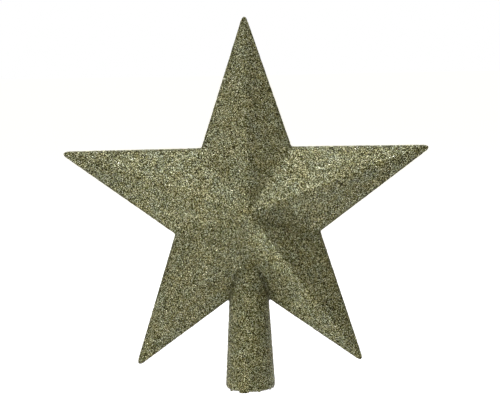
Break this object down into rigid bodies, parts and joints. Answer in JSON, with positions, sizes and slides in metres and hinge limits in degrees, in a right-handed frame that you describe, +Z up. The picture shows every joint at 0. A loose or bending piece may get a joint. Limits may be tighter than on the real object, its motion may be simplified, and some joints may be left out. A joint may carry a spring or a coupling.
{
  "type": "christmas tree topper",
  "caption": "Hollow relief star covered in glitter, on a tapered tubular stem that slips over the top shoot of a christmas tree.",
  "frame": {"origin": "centre of the stem's open mouth, in the plane of its rim", "axes": "+Z up the stem to the star's top point, +X to the star's right as its front is seen, +Y from the front face to the back face"},
  "size_m": [0.1858, 0.0422, 0.1897],
  "materials": {
    "glitter": "olive glitter flakes set in clear glue, rough to the touch",
    "shell_plastic": "moulded, satin",
    "seam_adhesive": "set clear adhesive"
  },
  "bodies": {
    "root": {"front_shell": "shell_plastic", "back_shell": "shell_plastic", "seam_adhesive": "seam_adhesive", "glitter_coat": "glitter"}
  },
  "joints": []
}
